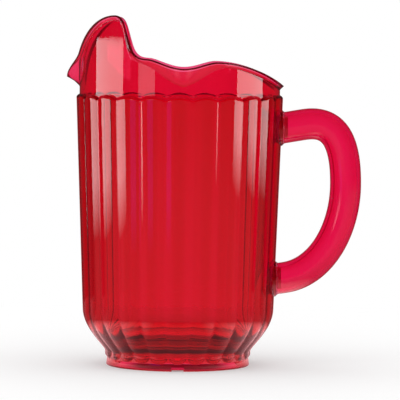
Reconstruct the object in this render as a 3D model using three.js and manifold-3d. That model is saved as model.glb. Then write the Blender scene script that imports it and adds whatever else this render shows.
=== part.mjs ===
// Ribbed plastic pitcher with a front spout, two side lips and a hollow welded-on handle.
// Millimetres, +Z up, standing on z = 0, with the spout towards -X and the handle towards +X.
import * as THREE from "three";
import { mergeVertices } from "three/addons/utils/BufferGeometryUtils.js";
import Module from "manifold-3d";

// Vessel heights above the table
const foot_edge_height = 1;
const foot_waist_height = 4.4;
const rib_tip_height = 5;
const rib_tip_rise = 2.4;
const rib_tip_arch = 1.6;
const floor_height = 16;
const bowl_top_height = 36;
const rib_top_height = 174.5;
const rib_dome_rise = 2.2;
const rib_dome_arch = 1.6;

// Vessel radii, without the ribs
const foot_edge_radius = 46.2;
const foot_waist_radius = 45.7;
const bowl_top_radius = 60.2;
const neck_radius = 64.5;
const floor_radius = 34;

// Ribs, and how far the grooves between them stand out of the neck at the top
const rib_count = 24;
const rib_depth = 1.25;
const groove_stand = 0.8;

// How far the curves of the bowl hold their direction, as shares of the bowl's height or width
const bowl_foot_hold = 0.1;
const bowl_top_hold = 0.5;
const inside_top_hold = 0.6;
const inside_floor_hold = 0.48;
const inside_floor_lift = 0.04;

// Shell
const wall = 3;
const floor_thickness = 2.4;
const foot_wall = 3.8;
const foot_rounding = 0.8;
const floor_fillet = 2;

// Drain notches through the foot ring
const notch_width = 7.6;
const notch_height = 1;

// Rim heights
const beak_height = 186;
const ear_height = 224.6;
const ear_back_drop = 2.2;
const ear_foot_height = 202.2;
const shoulder_height = 197;
const side_lip_height = 191.6;
const rear_bump_height = 195.8;
const handle_side_height = 180.8;

// Rim: angle from the spout in degrees, height, and slope in millimetres per degree
const rim_knots = [
  [0, beak_height, 1.05],
  [51, ear_height, 0],
  [55.6, ear_height - ear_back_drop, -1.3],
  [62.8, ear_foot_height, -1.5],
  [74.6, shoulder_height, -0.3],
  [92, side_lip_height, 0],
  [111, rear_bump_height, 0],
  [180, handle_side_height, 0],
];

// Lips: how far the rim turns out, and how wide the turned-out band is
const flange_reach = 2.4;
const flange_width = 3;
const beak_reach = 8.2;
const beak_width = 5.8;
const beak_half_angle = 15;
const side_lip_reach = 8;
const side_lip_width = 11.5;
const side_lip_angle = 92;
const side_lip_half_angle = 24;
const lip_thickness = 2.8;
const lip_rounding = 0.6;
const lip_curl = 1.15;

// Handle: a hollow oval tube along a path in the plane y = 0, from the pitcher's axis
const handle_thickness = 20;
const handle_width = 22;
const handle_wall = 2.6;
const handle_reach = 107.4;
const handle_reach_height = 117.2;
const upper_joint_height = 153.4;
const upper_arm_length = 13.5;
const upper_arm_slope = 0.171;
const upper_corner_arm_pull = 17.2;
const upper_corner_grip_pull = 32.8;
const lower_joint_height = 56;
const lower_arm_length = 5.5;
const lower_arm_slope = 0.148;
const lower_corner_arm_pull = 25;
const lower_corner_grip_pull = 28;

// Joints of the handle
const pad_stand = 0.5;
const joint_gap = 0.3;
const spigot_length = 3;
const weld_leg = 1;
const weld_hollow = 0.35;
const pad_land = 0.1;

// Mesh fineness
const rib_steps = 4;
const bowl_steps = 6;
const oval_sides = 16;
const handle_steps = 34;
const cut_sides = 48;
const fillet_steps = 2;
const rib_tip_rows = 0.3;
const rib_dome_rows = [0, 0.55, 0.87, 1];
const lip_rows = [0, 0.5, 1];

const column_count = rib_count * rib_steps;
const rib_pitch = 360 / rib_count;
const wasm = await Module();
wasm.setup();

// Solids: a closed geometry as a manifold, and back
function solid(geometry) {
  const bare = geometry.clone();
  bare.deleteAttribute("normal");
  bare.deleteAttribute("uv");
  const merged = mergeVertices(bare, 1e-4);
  const vertProperties = merged.attributes.position.array;
  const triVerts = new Uint32Array(merged.index.array);
  return new wasm.Manifold(new wasm.Mesh({ numProp: 3, vertProperties, triVerts }));
}

function geometryOf(manifold) {
  const mesh = manifold.getMesh();
  const geometry = new THREE.BufferGeometry();
  geometry.setAttribute("position", new THREE.BufferAttribute(mesh.vertProperties, 3));
  geometry.setIndex(new THREE.BufferAttribute(mesh.triVerts, 1));
  geometry.computeVertexNormals();
  return geometry;
}

// A closed surface from rows of points: rows that are rings, or loops that close on the first row
function loft(rows, closed) {
  const columns = rows[0].length;
  const positions = rows.flat().flatMap((point) => point.toArray());
  const index = [];
  const bands = closed ? rows.length : rows.length - 1;
  for (let band = 0; band < bands; band++) {
    const low = band * columns;
    const high = ((band + 1) % rows.length) * columns;
    for (let column = 0; column < columns; column++) {
      const next = (column + 1) % columns;
      index.push(low + column, low + next, high + next);
      index.push(low + column, high + next, high + column);
    }
  }
  if (!closed) {
    const last = (rows.length - 1) * columns;
    for (let column = 1; column < columns - 1; column++) {
      index.push(0, column + 1, column);
      index.push(last, last + column, last + column + 1);
    }
  }
  const geometry = new THREE.BufferGeometry();
  geometry.setAttribute("position", new THREE.Float32BufferAttribute(positions, 3));
  geometry.setIndex(index);
  return geometry;
}

// A point on the vessel, by its angle from the spout
function vesselPoint(radius, angle, height) {
  const turn = THREE.MathUtils.degToRad(angle);
  return new THREE.Vector3(-radius * Math.cos(turn), -radius * Math.sin(turn), height);
}

// The angle from the spout, folded so that both sides of the pitcher are alike
function foldedAngle(angle) {
  const turned = THREE.MathUtils.euclideanModulo(angle, 360);
  return Math.min(turned, 360 - turned);
}

// Rim outline
function rimHeight(angle) {
  const folded = foldedAngle(angle);
  let span = 1;
  while (span < rim_knots.length - 1 && folded > rim_knots[span][0]) span++;
  const [start, low, low_slope] = rim_knots[span - 1];
  const [end, high, high_slope] = rim_knots[span];
  const width = end - start;
  const t = (folded - start) / width;
  const ease = t * t * (3 - 2 * t);
  const leaving = t * (1 - t) * (1 - t) * width * low_slope;
  const arriving = t * t * (t - 1) * width * high_slope;
  return low + (high - low) * ease + leaving + arriving;
}

function rimSlope(angle) {
  const step = 1;
  const run = 2 * THREE.MathUtils.degToRad(step) * neck_radius;
  return (rimHeight(angle + step) - rimHeight(angle - step)) / run;
}

function bump(offset) {
  return Math.abs(offset) < 1 ? 0.5 + 0.5 * Math.cos(Math.PI * offset) : 0;
}

// The share of the beak and of the side lip at an angle
function lipShares(angle) {
  const folded = foldedAngle(angle);
  return {
    beak: bump(folded / beak_half_angle),
    side: bump((folded - side_lip_angle) / side_lip_half_angle),
    side_crease: Math.max(0, 1 - Math.abs(folded - side_lip_angle) / side_lip_half_angle),
  };
}

function lipReach(angle) {
  const { beak, side } = lipShares(angle);
  const beak_extra = (beak_reach - flange_reach) * beak;
  const side_extra = (side_lip_reach - flange_reach) * side;
  return flange_reach + beak_extra + side_extra;
}

// The height where the wall starts to turn out
function creaseHeight(angle) {
  const { beak, side_crease } = lipShares(angle);
  const beak_extra = (beak_width - flange_width) * beak;
  const side_extra = (side_lip_width - flange_width) * side_crease;
  const width = flange_width + beak_extra + side_extra;
  return rimHeight(angle) - width * Math.hypot(1, rimSlope(angle));
}

// Both faces of the turned-out lip at a share of its width, from the crease to the edge
function lipFaces(angle, share) {
  const crease = creaseHeight(angle);
  const rise = rimHeight(angle) - lip_rounding - crease;
  const outer_radius = neck_radius + lipReach(angle) * share ** lip_curl;
  const outer = new THREE.Vector2(outer_radius, crease + rise * share);
  const thickness = THREE.MathUtils.lerp(wall, lip_thickness, share);
  return { outer, inner: new THREE.Vector2(outer.x - thickness, outer.y) };
}

// How far the ribbed wall stands out: rounded crests with domed ends, and grooves that fade downwards
function ribStand(angle, height) {
  const across = 2 * THREE.MathUtils.euclideanModulo((angle - 90) / rib_pitch + 0.5, 1) - 1;
  const share = (height - rib_tip_height) / (rib_top_height - rib_tip_height);
  const crest = rib_depth + groove_stand * Math.max(0, share);
  const arch = across * across;
  const above = height - (rib_top_height - rib_dome_arch * arch - rib_dome_rise);
  const below = rib_tip_height + rib_tip_arch * arch + rib_tip_rise - height;
  const end = Math.max(0, above / rib_dome_rise, below / rib_tip_rise);
  return Math.max(0, crest * (1 - end * end) - rib_depth * arch);
}

// Radius of the straight wall without the ribs, which widens up to the neck
function wallRadius(height) {
  const share = (height - bowl_top_height) / (rib_top_height - bowl_top_height);
  return THREE.MathUtils.lerp(bowl_top_radius, neck_radius, share);
}

// Outside profile from the foot to the neck, without the ribs
function outsideProfile() {
  const bowl_foot = new THREE.Vector2(foot_waist_radius, rib_tip_height + rib_tip_arch + rib_tip_rise);
  const bowl_top = new THREE.Vector2(bowl_top_radius, bowl_top_height);
  const bowl_height = bowl_top.y - bowl_foot.y;
  const low_pull = new THREE.Vector2(bowl_foot.x, bowl_foot.y + bowl_foot_hold * bowl_height);
  const pull_height = bowl_top.y - bowl_top_hold * bowl_height;
  const high_pull = new THREE.Vector2(wallRadius(pull_height), pull_height);
  const bowl = new THREE.CubicBezierCurve(bowl_foot, low_pull, high_pull, bowl_top);
  const tip_middle = THREE.MathUtils.lerp(rib_tip_height, bowl_foot.y, rib_tip_rows);
  const dome_base = rib_top_height - rib_dome_arch - rib_dome_rise;
  return [
    new THREE.Vector2(foot_edge_radius - foot_rounding, 0),
    new THREE.Vector2(foot_edge_radius, foot_edge_height),
    new THREE.Vector2(foot_waist_radius, foot_waist_height),
    new THREE.Vector2(foot_waist_radius, rib_tip_height),
    new THREE.Vector2(foot_waist_radius, tip_middle),
    ...bowl.getPoints(bowl_steps),
    ...rib_dome_rows.map((share) => {
      const height = THREE.MathUtils.lerp(dome_base, rib_top_height, share);
      return new THREE.Vector2(wallRadius(height), height);
    }),
  ];
}

// Inside profile from the neck down to the floor
function insideProfile() {
  const bowl_top = new THREE.Vector2(wallRadius(bowl_top_height) - wall, bowl_top_height);
  const floor_edge = new THREE.Vector2(floor_radius, floor_height);
  const drop = bowl_top.y - floor_edge.y;
  const run = bowl_top.x - floor_edge.x;
  const pull_height = bowl_top.y - inside_top_hold * drop;
  const high_pull = new THREE.Vector2(wallRadius(pull_height) - wall, pull_height);
  const low_pull = new THREE.Vector2(
    floor_edge.x + inside_floor_hold * run,
    floor_edge.y + inside_floor_lift * drop,
  );
  const bowl = new THREE.CubicBezierCurve(bowl_top, high_pull, low_pull, floor_edge);
  return [new THREE.Vector2(neck_radius - wall, rib_top_height), ...bowl.getPoints(bowl_steps)];
}

// Hollow under the floor, from its middle out to the foot ring
function undersideProfile() {
  const under = floor_height - floor_thickness;
  const hollow_radius = foot_waist_radius - foot_wall;
  const fillet = new THREE.Path();
  fillet.absarc(hollow_radius - floor_fillet, under - floor_fillet, floor_fillet, Math.PI / 2, 0, true);
  return [
    ...fillet.getPoints(fillet_steps),
    new THREE.Vector2(hollow_radius, foot_rounding),
    new THREE.Vector2(hollow_radius + foot_rounding, 0),
  ];
}

// One column of the shell: under the floor, up the outside, over the rim and down the inside
function shellColumn(angle) {
  const crease = creaseHeight(angle);
  const neck_middle = (rib_top_height + crease) / 2;
  const faces = lip_rows.map((share) => lipFaces(angle, share));
  const { outer, inner } = faces.at(-1);
  const edge = new THREE.Vector2((outer.x + inner.x) / 2, rimHeight(angle));
  const outside = outsideProfile().map(
    (point) => new THREE.Vector2(point.x + ribStand(angle, point.y), point.y),
  );
  return [
    ...undersideProfile(),
    ...outside,
    new THREE.Vector2(neck_radius, neck_middle),
    ...faces.map((face) => face.outer),
    edge,
    ...faces.map((face) => face.inner).reverse(),
    new THREE.Vector2(neck_radius - wall, neck_middle),
    ...insideProfile(),
  ];
}

function shellGeometry() {
  const columns = Array.from({ length: column_count }, (_, column) => {
    const angle = 90 + (column / rib_steps - 0.5) * rib_pitch;
    return shellColumn(angle).map((point) => vesselPoint(point.x, angle, point.y));
  });
  const rows = columns[0].map((_, row) => columns.map((column) => column[row]));
  return loft(rows, false);
}

// Handle joints: a vertical pad face just proud of the rear rib, and the arm that leaves it
function joint(height, slope) {
  const face = wallRadius(height) + ribStand(180, height) + pad_stand;
  return { face, height, slope, direction: new THREE.Vector3(1, 0, slope).normalize() };
}

const upper_joint = joint(upper_joint_height, upper_arm_slope);
const lower_joint = joint(lower_joint_height, lower_arm_slope);

// A point on an arm, by its distance out from the pad face
function armPoint({ face, height, slope }, out) {
  return new THREE.Vector3(face + out, 0, height + slope * out);
}

// Middle line of the handle, running past both pad faces by an overrun
function handlePath(overrun) {
  const upper_end = armPoint(upper_joint, upper_arm_length);
  const lower_end = armPoint(lower_joint, lower_arm_length);
  const middle = new THREE.Vector3(handle_reach, 0, handle_reach_height);
  const up = new THREE.Vector3(0, 0, 1);
  const path = new THREE.CurvePath();
  path.add(new THREE.LineCurve3(armPoint(upper_joint, -overrun), upper_end));
  path.add(
    new THREE.CubicBezierCurve3(
      upper_end,
      upper_end.clone().addScaledVector(upper_joint.direction, upper_corner_arm_pull),
      middle.clone().addScaledVector(up, upper_corner_grip_pull),
      middle,
    ),
  );
  path.add(
    new THREE.CubicBezierCurve3(
      middle,
      middle.clone().addScaledVector(up, -lower_corner_grip_pull),
      lower_end.clone().addScaledVector(lower_joint.direction, lower_corner_arm_pull),
      lower_end,
    ),
  );
  path.add(new THREE.LineCurve3(lower_end, armPoint(lower_joint, -overrun)));
  return path;
}

// The oval section of the handle, grown or shrunk all round
function ovalShape(grow) {
  const oval = new THREE.EllipseCurve(0, 0, handle_width / 2 + grow, handle_thickness / 2 + grow);
  return new THREE.Shape(oval.getPoints(oval_sides).slice(0, -1));
}

function tubeAlong(path, grow, steps) {
  return new THREE.ExtrudeGeometry(ovalShape(grow), { steps, extrudePath: path });
}

// A box that covers all x below a face, between two heights
function cutBelow(face, low, high) {
  const length = neck_radius;
  const box = new THREE.BoxGeometry(length, 4 * handle_width, high - low);
  box.translate(face - length / 2, 0, (low + high) / 2);
  return solid(box);
}

// An upright oval ring of points round an arm, at a distance out from the pad face
function ovalRow(place, out, grow) {
  const middle = armPoint(place, out);
  const points = ovalShape(grow).getPoints();
  return points.map((point) => new THREE.Vector3(middle.x, point.x, middle.z + point.y));
}

// Pad and spigot that carry one end of the handle
function jointSolid(place) {
  const pad_grow = joint_gap + weld_leg + pad_land;
  const spigot_grow = -handle_wall - joint_gap;
  const pad = [ovalRow(place, -place.face / 2, pad_grow), ovalRow(place, 0, pad_grow)];
  const spigot_end = joint_gap + spigot_length;
  const spigot = [ovalRow(place, -wall, spigot_grow), ovalRow(place, spigot_end, spigot_grow)];
  return solid(loft(pad, false)).add(solid(loft(spigot, false)));
}

// The inside of the vessel out to the middle of the wall, where the pads are cut off
function wallCore() {
  const height = rib_top_height - bowl_top_height;
  const inset = wall / 2;
  const top = neck_radius - inset;
  const bottom = bowl_top_radius - inset;
  const core = new THREE.CylinderGeometry(top, bottom, height, cut_sides);
  core.rotateX(Math.PI / 2);
  core.translate(0, 0, bowl_top_height + height / 2);
  return solid(core);
}

function footNotches() {
  const length = 3 * foot_edge_radius;
  const along_x = new THREE.BoxGeometry(length, notch_width, 2 * notch_height);
  const along_y = new THREE.BoxGeometry(notch_width, length, 2 * notch_height);
  return solid(along_x).add(solid(along_y));
}

function bodyGeometry() {
  const joints = jointSolid(upper_joint).add(jointSolid(lower_joint)).subtract(wallCore());
  return geometryOf(solid(shellGeometry()).add(joints).subtract(footNotches()));
}

function handleGeometry() {
  const overrun = handle_thickness / 2;
  const tube = solid(tubeAlong(handlePath(overrun), 0, handle_steps));
  const bore = solid(tubeAlong(handlePath(2 * overrun), -handle_wall, handle_steps));
  const top = upper_joint_height + 2 * handle_thickness;
  const bottom = lower_joint_height - 2 * handle_thickness;
  const upper_cut = cutBelow(upper_joint.face + joint_gap, handle_reach_height, top);
  const lower_cut = cutBelow(lower_joint.face + joint_gap, bottom, handle_reach_height);
  return geometryOf(tube.subtract(bore).subtract(upper_cut).subtract(lower_cut));
}

// A fillet of weld round the end of the handle, in the corner with the pad
function weldGeometry(place) {
  const near = joint_gap;
  const section = [
    [near, joint_gap],
    [near, joint_gap + weld_leg],
    [near + weld_hollow * weld_leg, joint_gap + weld_hollow * weld_leg],
    [near + weld_leg, joint_gap],
  ];
  return loft(section.map(([out, grow]) => ovalRow(place, out, grow)), true);
}

// Materials: see-through red plastic, a little clearer in the thin handle
function redPlastic(color, opacity) {
  const finish = { roughness: 0.1, metalness: 0, transparent: true };
  return new THREE.MeshStandardMaterial({ ...finish, color, opacity });
}

const body_plastic = redPlastic(0xc8122a, 0.6);
const handle_plastic = redPlastic(0xdc1a4c, 0.6);
const weld_plastic = redPlastic(0xa8142e, 0.7);

// Assembly, centred on the whole pitcher from the beak to the back of the handle
const pitcher = new THREE.Group();
const pieces = [
  ["pitcher_body", bodyGeometry(), body_plastic],
  ["handle", handleGeometry(), handle_plastic],
  ["upper_weld_bead", weldGeometry(upper_joint), weld_plastic],
  ["lower_weld_bead", weldGeometry(lower_joint), weld_plastic],
];
for (const [name, geometry, material] of pieces) {
  const mesh = new THREE.Mesh(geometry, material);
  mesh.name = name;
  pitcher.add(mesh);
}
const outline = new THREE.Box3().setFromObject(pitcher);
const middle_x = (outline.min.x + outline.max.x) / 2;
for (const mesh of pitcher.children) mesh.position.x = -middle_x;

export default pitcher;
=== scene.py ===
# Clear red ribbed pitcher with a front spout, two side lips and a hollow welded-on handle.
# Sizes are millimetres from the pitcher's axis, as in the part's source; meshes are made in metres.
import math

import bmesh
import bpy
from mathutils import Matrix, Vector


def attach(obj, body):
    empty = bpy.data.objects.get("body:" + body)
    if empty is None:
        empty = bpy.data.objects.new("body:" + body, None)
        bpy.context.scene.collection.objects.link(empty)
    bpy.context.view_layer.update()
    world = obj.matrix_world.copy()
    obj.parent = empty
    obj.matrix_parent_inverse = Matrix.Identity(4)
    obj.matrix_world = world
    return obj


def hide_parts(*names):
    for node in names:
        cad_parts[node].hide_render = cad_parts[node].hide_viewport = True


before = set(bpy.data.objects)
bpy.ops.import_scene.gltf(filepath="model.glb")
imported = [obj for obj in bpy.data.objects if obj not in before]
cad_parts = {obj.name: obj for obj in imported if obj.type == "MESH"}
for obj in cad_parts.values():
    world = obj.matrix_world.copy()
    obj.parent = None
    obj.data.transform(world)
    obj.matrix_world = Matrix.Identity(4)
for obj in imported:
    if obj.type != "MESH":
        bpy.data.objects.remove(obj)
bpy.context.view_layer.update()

MM = 0.001

# Place of the pitcher's axis
axis_x = -22.3

# Vessel heights above the table
foot_edge_height = 1.0
foot_waist_height = 4.4
rib_tip_height = 5.0
rib_tip_rise = 2.4
rib_tip_arch = 1.6
floor_height = 16.0
bowl_top_height = 36.0
rib_top_height = 174.5
rib_dome_rise = 2.2
rib_dome_arch = 1.6

# Vessel radii, without the ribs
foot_edge_radius = 46.2
foot_waist_radius = 45.7
bowl_top_radius = 60.2
neck_radius = 64.5
floor_radius = 34.0

# Ribs, how far the grooves stand out of the neck at the top, and the rounding where a rib ends
rib_count = 24
rib_depth = 1.25
groove_stand = 0.8
rib_end_rounding = 0.05

# How far the curves of the bowl hold their direction, as shares of the bowl's height or width
bowl_foot_hold = 0.1
bowl_top_hold = 0.5
inside_top_hold = 0.6
inside_floor_hold = 0.48
inside_floor_lift = 0.04

# Shell
wall = 3.0
floor_thickness = 2.4
foot_wall = 3.8
foot_rounding = 0.8
floor_fillet = 2.0

# Drain notches through the foot ring
notch_width = 7.6
notch_height = 1.0

# Rim heights
beak_height = 186.0
ear_height = 224.6
ear_back_drop = 2.2
ear_foot_height = 202.2
shoulder_height = 197.0
side_lip_height = 191.6
rear_bump_height = 195.8
handle_side_height = 180.8

# Rim: angle from the spout in degrees, height, and slope in millimetres per degree
rim_knots = [
    (0, beak_height, 1.05),
    (51, ear_height, 0),
    (55.6, ear_height - ear_back_drop, -1.3),
    (62.8, ear_foot_height, -1.5),
    (74.6, shoulder_height, -0.3),
    (92, side_lip_height, 0),
    (111, rear_bump_height, 0),
    (180, handle_side_height, 0),
]

# Lips: how far the rim turns out, and how wide the turned-out band is
flange_reach = 2.4
flange_width = 3.0
beak_reach = 8.2
beak_width = 5.8
beak_half_angle = 15.0
side_lip_reach = 8.0
side_lip_width = 11.5
side_lip_angle = 92.0
side_lip_half_angle = 24.0
lip_thickness = 2.8
lip_rounding = 0.6
lip_curl = 1.15

# Handle: a hollow oval tube along a path in the plane y = 0
handle_thickness = 20.0
handle_width = 22.0
handle_wall = 2.6
handle_reach = 107.4
handle_reach_height = 117.2
upper_joint_height = 153.4
upper_arm_length = 13.5
upper_arm_slope = 0.171
upper_corner_arm_pull = 17.2
upper_corner_grip_pull = 32.8
lower_joint_height = 56.0
lower_arm_length = 5.5
lower_arm_slope = 0.148
lower_corner_arm_pull = 25.0
lower_corner_grip_pull = 28.0

# Joints of the handle
pad_stand = 0.5
joint_gap = 0.3
spigot_length = 3.0
weld_leg = 1.0
weld_hollow = 0.35
pad_land = 0.1

# Rows close above the rib tops and close below the crease of the lip
rib_top_rows = (0.15, 0.4, 0.9)
crease_rows = (0.7, 0.25)

# Mesh fineness
rib_steps = 16
tip_steps = 9
bowl_steps = 28
wall_steps = 30
dome_steps = 16
neck_steps = 9
lip_steps = 12
rim_steps = 7
round_steps = 5
inside_steps = 24
floor_rings = 5
oval_sides = 64
arm_steps = 8
corner_steps = 56
weld_steps = 6
sharp_angle = 40.0

# Camera: where it stands from the axis, where it looks, its width of view there and its roll
camera_distance = 2000.0
camera_height = 210.0
look_right = 13.6
look_height = 106.5
view_width = 258.0
camera_roll = 0.5
sensor_width = 36.0

rib_pitch = 360 / rib_count


def lerp(start, end, share):
    return start + (end - start) * share


def spread(count):
    return [step / count for step in range(count + 1)]


def bezier(start, start_pull, end_pull, end, steps):
    points = []
    for t in spread(steps):
        s = 1 - t
        near = s * s * s * start + 3 * s * s * t * start_pull
        far = 3 * s * t * t * end_pull + t * t * t * end
        points.append(near + far)
    return points


def arc(middle, radius, start, end, steps):
    angles = [math.radians(lerp(start, end, share)) for share in spread(steps)]
    return [middle + radius * Vector((math.cos(a), math.sin(a))) for a in angles]


# A point on the vessel, by its angle from the spout
def vessel_point(radius, angle, height):
    turn = math.radians(angle)
    return Vector((axis_x - radius * math.cos(turn), -radius * math.sin(turn), height))


# The angle from the spout, folded so that both sides of the pitcher are alike
def folded_angle(angle):
    turned = angle % 360
    return min(turned, 360 - turned)


# Rim outline
def rim_height(angle):
    folded = folded_angle(angle)
    span = 1
    while span < len(rim_knots) - 1 and folded > rim_knots[span][0]:
        span += 1
    start, low, low_slope = rim_knots[span - 1]
    end, high, high_slope = rim_knots[span]
    width = end - start
    t = (folded - start) / width
    ease = t * t * (3 - 2 * t)
    leaving = t * (1 - t) * (1 - t) * width * low_slope
    arriving = t * t * (t - 1) * width * high_slope
    return low + (high - low) * ease + leaving + arriving


def rim_slope(angle):
    step = 1
    run = 2 * math.radians(step) * neck_radius
    return (rim_height(angle + step) - rim_height(angle - step)) / run


def bump(offset):
    return 0.5 + 0.5 * math.cos(math.pi * offset) if abs(offset) < 1 else 0


# How far the lip turns out, and the height where the wall starts to turn
def lip_reach(angle):
    folded = folded_angle(angle)
    beak = bump(folded / beak_half_angle)
    side = bump((folded - side_lip_angle) / side_lip_half_angle)
    return flange_reach + (beak_reach - flange_reach) * beak + (side_lip_reach - flange_reach) * side


def crease_height(angle):
    folded = folded_angle(angle)
    beak = bump(folded / beak_half_angle)
    side = max(0, 1 - abs(folded - side_lip_angle) / side_lip_half_angle)
    width = flange_width + (beak_width - flange_width) * beak + (side_lip_width - flange_width) * side
    return rim_height(angle) - width * math.hypot(1, rim_slope(angle))


# Both faces of the turned-out lip at a share of its width, from the crease to the edge
def lip_faces(angle, share):
    crease = crease_height(angle)
    rise = rim_height(angle) - lip_rounding - crease
    outer = Vector((neck_radius + lip_reach(angle) * share**lip_curl, crease + rise * share))
    return outer, outer - Vector((lerp(wall, lip_thickness, share), 0))


# The lip from the outside of the crease, over the rounded edge, to the inside of the crease
def lip_profile(angle):
    faces = [lip_faces(angle, share) for share in spread(lip_steps)]
    outer, inner = faces[-1]
    middle = (outer + inner) / 2
    up = Vector((0, lip_rounding))
    edge = []
    for share in spread(rim_steps)[1:-1]:
        turn = math.pi * share
        edge.append(middle + math.cos(turn) * (outer - middle) + math.sin(turn) * up)
    return [face[0] for face in faces] + edge + [face[1] for face in reversed(faces)]


# How far the ribbed wall stands out: rounded crests with domed ends, and grooves that fade downwards
def rib_stand(angle, height):
    across = 2 * (((angle - 90) / rib_pitch + 0.5) % 1) - 1
    share = (height - rib_tip_height) / (rib_top_height - rib_tip_height)
    crest = rib_depth + groove_stand * max(0, share)
    arch = across * across
    above = height - (rib_top_height - rib_dome_arch * arch - rib_dome_rise)
    below = rib_tip_height + rib_tip_arch * arch + rib_tip_rise - height
    end = max(0, above / rib_dome_rise, below / rib_tip_rise)
    stand = crest * (1 - end * end) - rib_depth * arch
    return (stand + math.hypot(stand, rib_end_rounding)) / 2


# Radius of the straight wall without the ribs, which widens up to the neck
def wall_radius(height):
    share = (height - bowl_top_height) / (rib_top_height - bowl_top_height)
    return lerp(bowl_top_radius, neck_radius, share)


# Outside profile from the table to the neck, without the ribs
def outside_profile():
    foot_corner = Vector((foot_edge_radius - foot_rounding, foot_rounding))
    bowl_foot = Vector((foot_waist_radius, rib_tip_height + rib_tip_arch + rib_tip_rise))
    bowl_top = Vector((bowl_top_radius, bowl_top_height))
    bowl_height = bowl_top.y - bowl_foot.y
    low_pull = Vector((bowl_foot.x, bowl_foot.y + bowl_foot_hold * bowl_height))
    pull_height = bowl_top.y - bowl_top_hold * bowl_height
    high_pull = Vector((wall_radius(pull_height), pull_height))
    dome_base = rib_top_height - rib_dome_arch - rib_dome_rise
    wall_rows = [lerp(bowl_top_height, dome_base, share) for share in spread(wall_steps)[1:]]
    dome_rows = [lerp(dome_base, rib_top_height, share) for share in spread(dome_steps)[1:]]
    waist_rows = [lerp(foot_waist_height, bowl_foot.y, share) for share in spread(tip_steps)[:-1]]
    return [
        *arc(foot_corner, foot_rounding, -90, 0, round_steps),
        *[Vector((foot_waist_radius, height)) for height in waist_rows],
        *bezier(bowl_foot, low_pull, high_pull, bowl_top, bowl_steps),
        *[Vector((wall_radius(height), height)) for height in wall_rows + dome_rows],
    ]


# Inside profile from the neck down to the edge of the floor
def inside_profile():
    bowl_top = Vector((wall_radius(bowl_top_height) - wall, bowl_top_height))
    floor_edge = Vector((floor_radius, floor_height))
    drop = bowl_top.y - floor_edge.y
    run = bowl_top.x - floor_edge.x
    pull_height = bowl_top.y - inside_top_hold * drop
    high_pull = Vector((wall_radius(pull_height) - wall, pull_height))
    low_pull = floor_edge + Vector((inside_floor_hold * run, inside_floor_lift * drop))
    wall_rows = [lerp(rib_top_height, bowl_top_height, share) for share in spread(inside_steps)[:-1]]
    return [
        *[Vector((wall_radius(height) - wall, height)) for height in wall_rows],
        *bezier(bowl_top, high_pull, low_pull, floor_edge, inside_steps),
    ]


# Hollow under the floor, from its middle out to the foot ring
def underside_profile():
    under = floor_height - floor_thickness
    hollow_radius = foot_waist_radius - foot_wall
    flat_radius = hollow_radius - floor_fillet
    fillet_middle = Vector((flat_radius, under - floor_fillet))
    foot_corner = Vector((hollow_radius + foot_rounding, foot_rounding))
    return [
        *[Vector((flat_radius * share, under)) for share in spread(floor_rings)[1:-1]],
        *arc(fillet_middle, floor_fillet, 90, 0, round_steps),
        *arc(foot_corner, foot_rounding, 180, 270, round_steps),
    ]


# One column of the shell: under the floor, up the outside, over the rim and down to the floor
def shell_column(angle, underside, outside, inside):
    ribbed = [Vector((point.x + rib_stand(angle, point.y), point.y)) for point in outside]
    lip = lip_profile(angle)
    neck_foot = rib_top_height + rib_top_rows[-1]
    neck_rows = [rib_top_height + row for row in rib_top_rows]
    neck_top = lip[0].y - crease_rows[0]
    neck_rows += [lerp(neck_foot, neck_top, share) for share in spread(neck_steps)[1:-1]]
    neck_rows += [lip[0].y - row for row in crease_rows]
    neck = [Vector((neck_radius + rib_stand(angle, height), height)) for height in neck_rows]
    inside_rows = [lip[-1].y - row for row in reversed(crease_rows)]
    inside_rows += [lerp(neck_top, rib_top_height, share) for share in spread(neck_steps)[1:-1]]
    inside_neck = [Vector((neck_radius - wall, height)) for height in inside_rows]
    floor_shares = reversed(spread(floor_rings)[1:-1])
    floor_rows = [Vector((floor_radius * share, floor_height)) for share in floor_shares]
    return [*underside, *ribbed, *neck, *lip, *inside_neck, *inside, *floor_rows]


# A smooth closed mesh from rows of points; the rows close on the first one or end in a middle point
def row_mesh(name, rows, closed):
    columns = len(rows[0])
    points = [point * MM for row in rows for point in row]
    faces = []
    for band in range(len(rows) if closed else len(rows) - 1):
        low = band * columns
        high = (band + 1) % len(rows) * columns
        for column in range(columns):
            after = (column + 1) % columns
            faces.append((low + column, low + after, high + after, high + column))
    if not closed:
        for row in (0, len(rows) - 1):
            tip = len(points)
            points.append(sum(rows[row], Vector((0, 0, 0))) / columns * MM)
            first = row * columns
            faces += [(first + c, first + (c + 1) % columns, tip) for c in range(columns)]
    mesh = bpy.data.meshes.new(name)
    mesh.from_pydata(points, [], faces)
    shape = bmesh.new()
    shape.from_mesh(mesh)
    bmesh.ops.recalc_face_normals(shape, faces=shape.faces)
    shape.to_mesh(mesh)
    shape.free()
    return mesh


def new_piece(name, mesh):
    piece = bpy.data.objects.new(name, mesh)
    bpy.context.collection.objects.link(piece)
    return piece


# Joins or cuts a piece with other solids, which are used up
def carve(piece, operation, tools):
    for tool in tools:
        modifier = piece.modifiers.new(operation, "BOOLEAN")
        modifier.operation = operation
        modifier.solver = "MANIFOLD"
        modifier.object = tool
    graph = bpy.context.evaluated_depsgraph_get()
    carved = bpy.data.meshes.new_from_object(piece.evaluated_get(graph))
    piece.modifiers.clear()
    piece.data = carved
    for tool in tools:
        bpy.data.objects.remove(tool)


def smooth(piece):
    piece.data.shade_smooth()
    piece.data.set_sharp_from_angle(angle=math.radians(sharp_angle))


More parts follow.
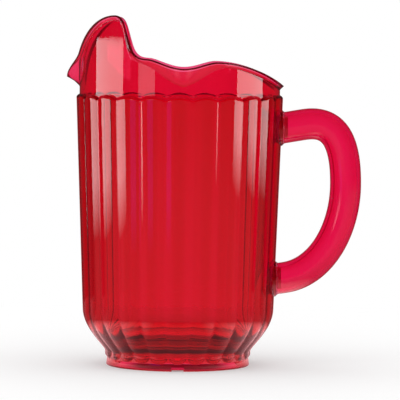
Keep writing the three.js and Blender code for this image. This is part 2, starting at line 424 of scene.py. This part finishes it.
# Handle joints: a vertical pad face just proud of the rear rib, and the arm that leaves it
class Joint:
    def __init__(self, height, slope):
        self.face = wall_radius(height) + rib_stand(180, height) + pad_stand
        self.height = height
        self.slope = slope

    def arm_point(self, out):
        return Vector((axis_x + self.face + out, 0, self.height + self.slope * out))

    def direction(self):
        return Vector((1, 0, self.slope)).normalized()


upper_joint = Joint(upper_joint_height, upper_arm_slope)
lower_joint = Joint(lower_joint_height, lower_arm_slope)


def oval(grow):
    half_width = handle_width / 2 + grow
    half_thickness = handle_thickness / 2 + grow
    angles = [2 * math.pi * side / oval_sides for side in range(oval_sides)]
    return [(half_width * math.cos(a), half_thickness * math.sin(a)) for a in angles]


# An upright oval ring of points round an arm, at a distance out from the pad face
def oval_row(joint, out, grow):
    middle = joint.arm_point(out)
    return [middle + Vector((0, across, up)) for across, up in oval(grow)]


# Middle line of the handle from the upper pad to the lower one, with its direction at each point
def handle_path():
    upper_start = upper_joint.arm_point(joint_gap)
    upper_end = upper_joint.arm_point(upper_arm_length)
    lower_start = lower_joint.arm_point(joint_gap)
    lower_end = lower_joint.arm_point(lower_arm_length)
    middle = Vector((axis_x + handle_reach, 0, handle_reach_height))
    up = Vector((0, 0, 1))
    upper_corner = bezier(
        upper_end,
        upper_end + upper_corner_arm_pull * upper_joint.direction(),
        middle + upper_corner_grip_pull * up,
        middle,
        corner_steps,
    )
    lower_corner = bezier(
        middle,
        middle - lower_corner_grip_pull * up,
        lower_end + lower_corner_arm_pull * lower_joint.direction(),
        lower_end,
        corner_steps,
    )
    points = [
        *[upper_start.lerp(upper_end, share) for share in spread(arm_steps)[:-1]],
        *upper_corner,
        *lower_corner[1:],
        *[lower_end.lerp(lower_start, share) for share in spread(arm_steps)[1:]],
    ]
    directions = [(points[k + 1] - points[k - 1]).normalized() for k in range(1, len(points) - 1)]
    directions = [upper_joint.direction(), *directions, -lower_joint.direction()]
    return list(zip(points, directions))


# One face of the tube: oval rows along the path, with both ends cut upright at the pads
def tube_rows(path, grow):
    rows = []
    last = len(path) - 1
    for step, (middle, direction) in enumerate(path):
        side = Vector((-direction.z, 0, direction.x))
        row = [middle + Vector((0, across, 0)) + up * side for across, up in oval(grow)]
        if step in (0, last):
            row = [point + direction * ((middle.x - point.x) / direction.x) for point in row]
        rows.append(row)
    return rows


def make_handle():
    path = handle_path()
    rows = tube_rows(path, 0) + tube_rows(path, -handle_wall)[::-1]
    return new_piece("handle_tube", row_mesh("handle_tube", rows, True))


# A hollow fillet of weld round the end of the handle, in the corner with the pad
def make_weld(name, joint):
    near = joint_gap
    tip = Vector((near + weld_leg, joint_gap))
    foot = Vector((near, joint_gap + weld_leg))
    corner = Vector((near, joint_gap))
    pull = corner + weld_hollow * Vector((weld_leg, weld_leg)) / 2
    face = bezier(foot, foot.lerp(pull, 0.7), tip.lerp(pull, 0.7), tip, weld_steps)
    rows = [oval_row(joint, point.x, point.y) for point in [corner, *face]]
    return new_piece(name, row_mesh(name, rows, True))


# Pads and spigots that carry the handle, cut off inside the wall
def joint_solids():
    solids = []
    pad_grow = joint_gap + weld_leg + pad_land
    spigot_grow = -handle_wall - joint_gap
    for joint in (upper_joint, lower_joint):
        root = wall_radius(joint.height) - wall / 2 - joint.face
        pad_rows = [oval_row(joint, out, pad_grow) for out in (root, 0)]
        spigot_rows = [oval_row(joint, out, spigot_grow) for out in (root, joint_gap + spigot_length)]
        solids.append(new_piece("pad", row_mesh("pad", pad_rows, False)))
        solids.append(new_piece("spigot", row_mesh("spigot", spigot_rows, False)))
    return solids


def notch_solids():
    solids = []
    length = 3 * foot_edge_radius
    for size_x, size_y in ((length, notch_width), (notch_width, length)):
        corners = [(size_x / 2, size_y / 2), (-size_x / 2, size_y / 2), (-size_x / 2, -size_y / 2)]
        corners.append((size_x / 2, -size_y / 2))
        rows = [[Vector((axis_x + x, y, z)) for x, y in corners] for z in (-notch_height, notch_height)]
        solids.append(new_piece("notch", row_mesh("notch", rows, False)))
    return solids


def make_body():
    underside = underside_profile()
    outside = outside_profile()
    inside = inside_profile()
    columns = []
    for column in range(rib_count * rib_steps):
        angle = 90 + (column / rib_steps - 0.5) * rib_pitch
        profile = shell_column(angle, underside, outside, inside)
        columns.append([vessel_point(point.x, angle, point.y) for point in profile])
    rows = [list(row) for row in zip(*columns)]
    body = new_piece("pitcher_shell", row_mesh("pitcher_shell", rows, False))
    carve(body, "UNION", joint_solids())
    carve(body, "DIFFERENCE", notch_solids())
    return body


# Nodes of a material, made and joined by name
def add_node(tree, kind, inputs=None, **settings):
    node = tree.nodes.new(kind)
    for name, value in settings.items():
        setattr(node, name, value)
    for name, value in (inputs or {}).items():
        if isinstance(value, bpy.types.NodeSocket):
            tree.links.new(value, node.inputs[name])
        else:
            node.inputs[name].default_value = value
    return node


# A value mapped over a span: where it starts and ends, and the results at the start and the end
def ramp(tree, value, span):
    low, high, start, end = span
    inputs = {"Value": value, "From Min": low, "From Max": high, "To Min": start, "To Max": end}
    return add_node(tree, "ShaderNodeMapRange", inputs).outputs["Result"]


def combine(tree, operation, first, second, clamp=False):
    inputs = {0: first, 1: second}
    return add_node(tree, "ShaderNodeMath", inputs, operation=operation, use_clamp=clamp).outputs["Value"]


def size_of(tree, value):
    return add_node(tree, "ShaderNodeMath", {0: value}, operation="ABSOLUTE").outputs["Value"]


def noise(tree, place, scale, detail):
    inputs = {"Vector": place, "Scale": scale, "Detail": detail}
    return add_node(tree, "ShaderNodeTexNoise", inputs).outputs["Fac"]


# Plastic: tints of the surface, the colours that its depth leaves, roughness and shine, and a faint painted
# red glow of its own that lightens the dark edges
tint = (1.0, 0.52, 0.7, 1.0)
worn_tint = (0.97, 0.46, 0.65, 1.0)
body_depth_colour = (0.912, 0.08, 0.4, 1.0)
handle_depth_colour = (0.922, 0.08, 0.52, 1.0)
depth_density = 800.0
body_polish = 0.015
handle_polish = 0.07
body_shine = 0.5
handle_shine = 0.3
plastic_ior = 1.57
# Painted light: a faint red glow from the plastic itself, which lightens its dark edges
painted_glow_colour = (1.0, 0.02, 0.08, 1.0)
painted_glow = 0.032

# Marks on the plastic: noise scales, the slant and stretch of the scratches, spans and relief in metres
cloud_scale = 55.0
grain_scale = 1400.0
wave_scale = 38.0
scratch_scale = 1100.0
scratch_slant = (0.3, 0.5, 0.2)
scratch_stretch = (1.0, 1.0, 0.05)
haze_start = 0.35
haze_end = 0.7
scuff_span = (0.62, 0.74, 0.0, 0.06)
foot_wear_span = (0.0, 0.003, 0.22, 0.0)
wave_strength = 0.03
wave_relief = 0.0004
grain_strength = 0.12
grain_relief = 0.00002


# See-through red plastic: light is taken by depth, and the polish is broken by faint waves and scuffs
def red_plastic(name, depth_colour, polish, shine):
    material = bpy.data.materials.new(name)
    material.use_nodes = True
    tree = material.node_tree
    tree.nodes.clear()
    place = add_node(tree, "ShaderNodeTexCoord").outputs["Object"]
    cloud = noise(tree, place, cloud_scale, 3.0)
    grain = noise(tree, place, grain_scale, 2.0)
    wave = noise(tree, place, wave_scale, 1.0)
    slanted = {"Vector": place, "Rotation": scratch_slant, "Scale": scratch_stretch}
    stretched = add_node(tree, "ShaderNodeMapping", slanted).outputs["Vector"]
    scratch = noise(tree, stretched, scratch_scale, 2.0)
    colour = add_node(tree, "ShaderNodeMix", {"Factor": cloud, "A": tint, "B": worn_tint}, data_type="RGBA")
    height = add_node(tree, "ShaderNodeSeparateXYZ", {"Vector": place}).outputs["Z"]
    haze = ramp(tree, cloud, (haze_start, haze_end, polish, 2 * polish))
    scuffed = combine(tree, "ADD", haze, ramp(tree, scratch, scuff_span))
    rough = combine(tree, "ADD", scuffed, ramp(tree, height, foot_wear_span))
    waves = add_node(
        tree, "ShaderNodeBump", {"Height": wave, "Strength": wave_strength, "Distance": wave_relief}
    ).outputs["Normal"]
    surface = add_node(
        tree,
        "ShaderNodeBump",
        {"Height": grain, "Strength": grain_strength, "Distance": grain_relief, "Normal": waves},
    ).outputs["Normal"]
    plastic = add_node(
        tree,
        "ShaderNodeBsdfPrincipled",
        {
            "Base Color": colour.outputs["Result"],
            "Roughness": rough,
            "Normal": surface,
            "IOR": plastic_ior,
            "Specular IOR Level": shine,
            "Transmission Weight": 1.0,
            # Painted light: the plastic glows faintly red, lightening the dark edges where light would run
            # out
            "Emission Color": painted_glow_colour,
            "Emission Strength": painted_glow,
        },
    )
    depth = add_node(tree, "ShaderNodeVolumeAbsorption", {"Color": depth_colour, "Density": depth_density})
    add_node(
        tree,
        "ShaderNodeOutputMaterial",
        {"Surface": plastic.outputs["BSDF"], "Volume": depth.outputs["Volume"]},
    )
    return material


def dress(piece, node, material):
    smooth(piece)
    piece.data.materials.clear()
    piece.data.materials.append(material)
    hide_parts(node)
    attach(piece, "root")


def make_pieces():
    body_plastic = red_plastic("body_plastic", body_depth_colour, body_polish, body_shine)
    handle_plastic = red_plastic("handle_plastic", handle_depth_colour, handle_polish, handle_shine)
    weld_plastic = red_plastic("weld_plastic", body_depth_colour, body_polish, body_shine)
    dress(make_body(), "pitcher_body", body_plastic)
    handle = make_handle()
    dress(handle, "handle", handle_plastic)
    dress(make_weld("upper_weld", upper_joint), "upper_weld_bead", weld_plastic)
    dress(make_weld("lower_weld", lower_joint), "lower_weld_bead", weld_plastic)
    return handle


# Floor: a pale disc. Its spans are metres from the pitcher's axis, with the brightness at both ends.
floor_radius_m = 0.45
floor_sides = 96
floor_paint = (0.8, 0.8, 0.8, 1.0)
floor_glow = 0.26
# Painted light seen through the plastic: painted shade under the middle of the pitcher, a bright ring round
# the foot, fading further out
painted_shade_under_foot_span = (0.025, 0.038, 0.05, 1.0)
painted_light_ring_span = (0.06, 0.12, 1.0, 0.15)
# Painted reflection: the floor as the plastic mirrors it, bright at the sides and behind, with a red spill
painted_side_spill_span = (0.035, 0.08, 0.45, 1.9)
painted_spill_end_span = (0.095, 0.13, 1.0, 0.1)
painted_far_table_span = (0.1, 0.14, 0.0, 0.42)
painted_rear_table_span = (0.0, 0.12, 1.0, 0.1)
painted_spill_colour = (1.0, 0.5, 0.52, 1.0)


def floor_mesh():
    points = [(0, 0, 0)]
    for side in range(floor_sides):
        turn = 2 * math.pi * side / floor_sides
        points.append((floor_radius_m * math.cos(turn), floor_radius_m * math.sin(turn), 0))
    faces = [(0, 1 + side, 1 + (side + 1) % floor_sides) for side in range(floor_sides)]
    mesh = bpy.data.meshes.new("studio_floor")
    mesh.from_pydata(points, [], faces)
    return mesh


# The floor keeps its real shadow. Through the plastic it shows painted light, a bright ring round the foot
# with painted shade under the middle, and in reflections a painted reflection of a lit table at the sides
# and behind, with a red spill
def floor_material():
    material = bpy.data.materials.new("studio_floor")
    material.use_nodes = True
    tree = material.node_tree
    tree.nodes.clear()
    rays = add_node(tree, "ShaderNodeLightPath").outputs
    place = add_node(tree, "ShaderNodeTexCoord").outputs["Object"]
    shift = {0: place, 1: (-axis_x * MM, 0.0, 0.0)}
    centred = add_node(tree, "ShaderNodeVectorMath", shift).outputs["Vector"]
    spot = add_node(tree, "ShaderNodeSeparateXYZ", {"Vector": centred}).outputs
    sideways = size_of(tree, spot["X"])
    away = add_node(tree, "ShaderNodeVectorMath", {0: centred}, operation="LENGTH").outputs["Value"]
    # Painted light and shade that only rays through the plastic see: a bright ring round the foot, dimmed
    # under its middle
    painted_light_ring = combine(tree, "MULTIPLY", ramp(tree, away, painted_shade_under_foot_span), ramp(tree, away, painted_light_ring_span))
    through = combine(tree, "MULTIPLY", painted_light_ring, rays["Is Transmission Ray"])
    direct = combine(tree, "MULTIPLY", rays["Is Camera Ray"], floor_glow)
    paint = add_node(tree, "ShaderNodeBsdfDiffuse", {"Color": floor_paint})
    glow = add_node(tree, "ShaderNodeEmission", {"Strength": combine(tree, "MAXIMUM", direct, through)})
    both = add_node(tree, "ShaderNodeAddShader", {0: paint.outputs["BSDF"], 1: glow.outputs["Emission"]})
    # Painted reflection: a lit table at the sides and behind and a red spill, shown only to reflected rays
    near = combine(
        tree, "MULTIPLY", ramp(tree, sideways, painted_side_spill_span), ramp(tree, away, painted_spill_end_span)
    )
    painted_far_table = ramp(tree, away, painted_far_table_span)
    far = combine(tree, "MULTIPLY", painted_far_table, ramp(tree, spot["Y"], painted_rear_table_span))
    painted_spill = combine(tree, "MAXIMUM", near, far)
    painted_reflection = add_node(tree, "ShaderNodeEmission", {"Color": painted_spill_colour, "Strength": painted_spill})
    reflected = combine(tree, "SUBTRACT", rays["Is Glossy Ray"], rays["Is Transmission Ray"], clamp=True)
    shown = add_node(
        tree,
        "ShaderNodeMixShader",
        {0: reflected, 1: both.outputs["Shader"], 2: painted_reflection.outputs["Emission"]},
    )
    add_node(tree, "ShaderNodeOutputMaterial", {"Surface": shown.outputs["Shader"]})
    return material


def make_floor():
    mesh = floor_mesh()
    floor = new_piece("studio_floor", mesh)
    mesh.materials.append(floor_material())


# World: its spans are shares of a direction along X, Y or Z, with the brightness at both ends
room_light = 0.9
sky_shine_span = (-0.6, 1.0, 0.01, 0.03)
low_table_span = (-0.12, -0.03, 0.2, 0.0)
front_table_span = (0.05, 0.5, 1.0, 0.0)
backdrop_span = (0.3, 0.52, 0.08, 1.0)
side_wall_span = (0.91, 0.96, 0.0, 0.9)
ceiling_span = (0.35, 0.7, 0.0, 0.7)


# White to the camera, pale through the plastic and dim in reflections, with the table's shine in front
def make_world():
    world = bpy.data.worlds.new("studio")
    bpy.context.scene.world = world
    world.use_nodes = True
    tree = world.node_tree
    tree.nodes.clear()
    rays = add_node(tree, "ShaderNodeLightPath").outputs
    glossy = rays["Is Glossy Ray"]
    camera = rays["Is Camera Ray"]
    way = add_node(tree, "ShaderNodeTexCoord").outputs["Generated"]
    ways = add_node(tree, "ShaderNodeSeparateXYZ", {"Vector": way}).outputs
    low_table = ramp(tree, ways["Z"], low_table_span)
    table_shine = combine(tree, "MULTIPLY", low_table, ramp(tree, ways["Y"], front_table_span))
    shine = combine(tree, "ADD", ramp(tree, ways["Y"], sky_shine_span), table_shine)
    lit = ramp(tree, glossy, (0.0, 1.0, room_light, 0.0))
    unseen = combine(tree, "ADD", lit, combine(tree, "MULTIPLY", shine, glossy))
    direct = ramp(tree, rays["Diffuse Depth"], (0.0, 1.0, 1.0, 0.0))
    through = combine(tree, "MULTIPLY", rays["Is Transmission Ray"], direct)
    seen = combine(tree, "MAXIMUM", camera, through)
    backdrop = ramp(tree, size_of(tree, ways["Y"]), backdrop_span)
    side_wall = ramp(tree, size_of(tree, ways["X"]), side_wall_span)
    walls = combine(tree, "MAXIMUM", backdrop, side_wall)
    field = combine(tree, "MAXIMUM", walls, ramp(tree, ways["Z"], ceiling_span))
    bright = combine(tree, "MAXIMUM", field, camera)
    mixed = {"Factor": seen, "A": unseen, "B": bright}
    strength = add_node(tree, "ShaderNodeMix", mixed, data_type="FLOAT").outputs["Result"]
    sky = add_node(tree, "ShaderNodeBackground", {"Color": (1.0, 1.0, 1.0, 1.0), "Strength": strength})
    add_node(tree, "ShaderNodeOutputWorld", {"Surface": sky.outputs["Background"]})


# Softboxes: name, place, the point they face, width, height, brightness beside white, and colour
softboxes = [
    ("left_softbox", (-0.72, -0.05, 0.11), (-0.02, -0.05, 0.11), 0.54, 0.2, 2.7, (1.0, 1.0, 1.0)),
    ("right_softbox", (0.68, -0.06, 0.125), (-0.02, -0.06, 0.125), 0.51, 0.16, 2.7, (1.0, 1.0, 1.0)),
    ("fill_softbox", (-0.60, -0.765, 0.2), (-0.04, -0.06, 0.2), 0.32, 0.18, 1.1, (1.0, 0.9, 1.0)),
    ("low_fill_softbox", (-0.60, -0.765, 0.03), (-0.04, -0.06, 0.03), 0.32, 0.16, 0.5, (0.4, 0.05, 1.0)),
]

# The softbox that is kept off the handle, and the height over which each fades at its lower edge
flagged_softbox = "right_softbox"
fade = 0.05


def soften(lamp):
    lamp.use_nodes = True
    tree = lamp.node_tree
    tree.nodes.clear()
    spot = add_node(tree, "ShaderNodeNewGeometry").outputs["Parametric"]
    up = add_node(tree, "ShaderNodeSeparateXYZ", {"Vector": spot}).outputs["Y"]
    fading = ramp(tree, up, (0.0, fade / lamp.size_y, 0.0, 1.0))
    glow = add_node(tree, "ShaderNodeEmission", {"Strength": fading})
    add_node(tree, "ShaderNodeOutputLight", {"Surface": glow.outputs["Emission"]})


# Keeps a softbox off one piece, as a flag beside it would
def keep_off(box, piece):
    shade = bpy.data.collections.new("flagged")
    shade.objects.link(piece)
    shade.collection_objects[0].light_linking.link_state = "EXCLUDE"
    box.light_linking.receiver_collection = shade


def make_lights(shaded):
    for name, place, target, width, height, brightness, colour in softboxes:
        lamp = bpy.data.lights.new(name, "AREA")
        lamp.shape = "RECTANGLE"
        lamp.size = width
        lamp.size_y = height
        lamp.energy = 4 * width * height * brightness
        lamp.color = colour
        soften(lamp)
        box = bpy.data.objects.new(name, lamp)
        bpy.context.collection.objects.link(box)
        box.location = place
        facing = Vector(target) - Vector(place)
        box.rotation_euler = facing.to_track_quat("-Z", "Y").to_euler()
        box.visible_camera = False
        box.visible_transmission = False
        if name == flagged_softbox:
            keep_off(box, shaded)


def make_camera():
    lens = bpy.data.cameras.new("camera")
    camera = bpy.data.objects.new("camera", lens)
    bpy.context.collection.objects.link(camera)
    bpy.context.scene.camera = camera
    eye = Vector((axis_x, -camera_distance, camera_height)) * MM
    target = Vector((axis_x + look_right, 0, look_height)) * MM
    sight = target - eye
    roll = Matrix.Rotation(math.radians(camera_roll), 4, "Z")
    aim = sight.to_track_quat("-Z", "Y").to_matrix().to_4x4()
    camera.matrix_world = Matrix.Translation(eye) @ aim @ roll
    lens.sensor_width = sensor_width
    lens.lens = sensor_width * sight.length / (view_width * MM)


make_camera()
handle_piece = make_pieces()
make_floor()
make_world()
make_lights(handle_piece)
bpy.context.scene.view_settings.view_transform = "Standard"
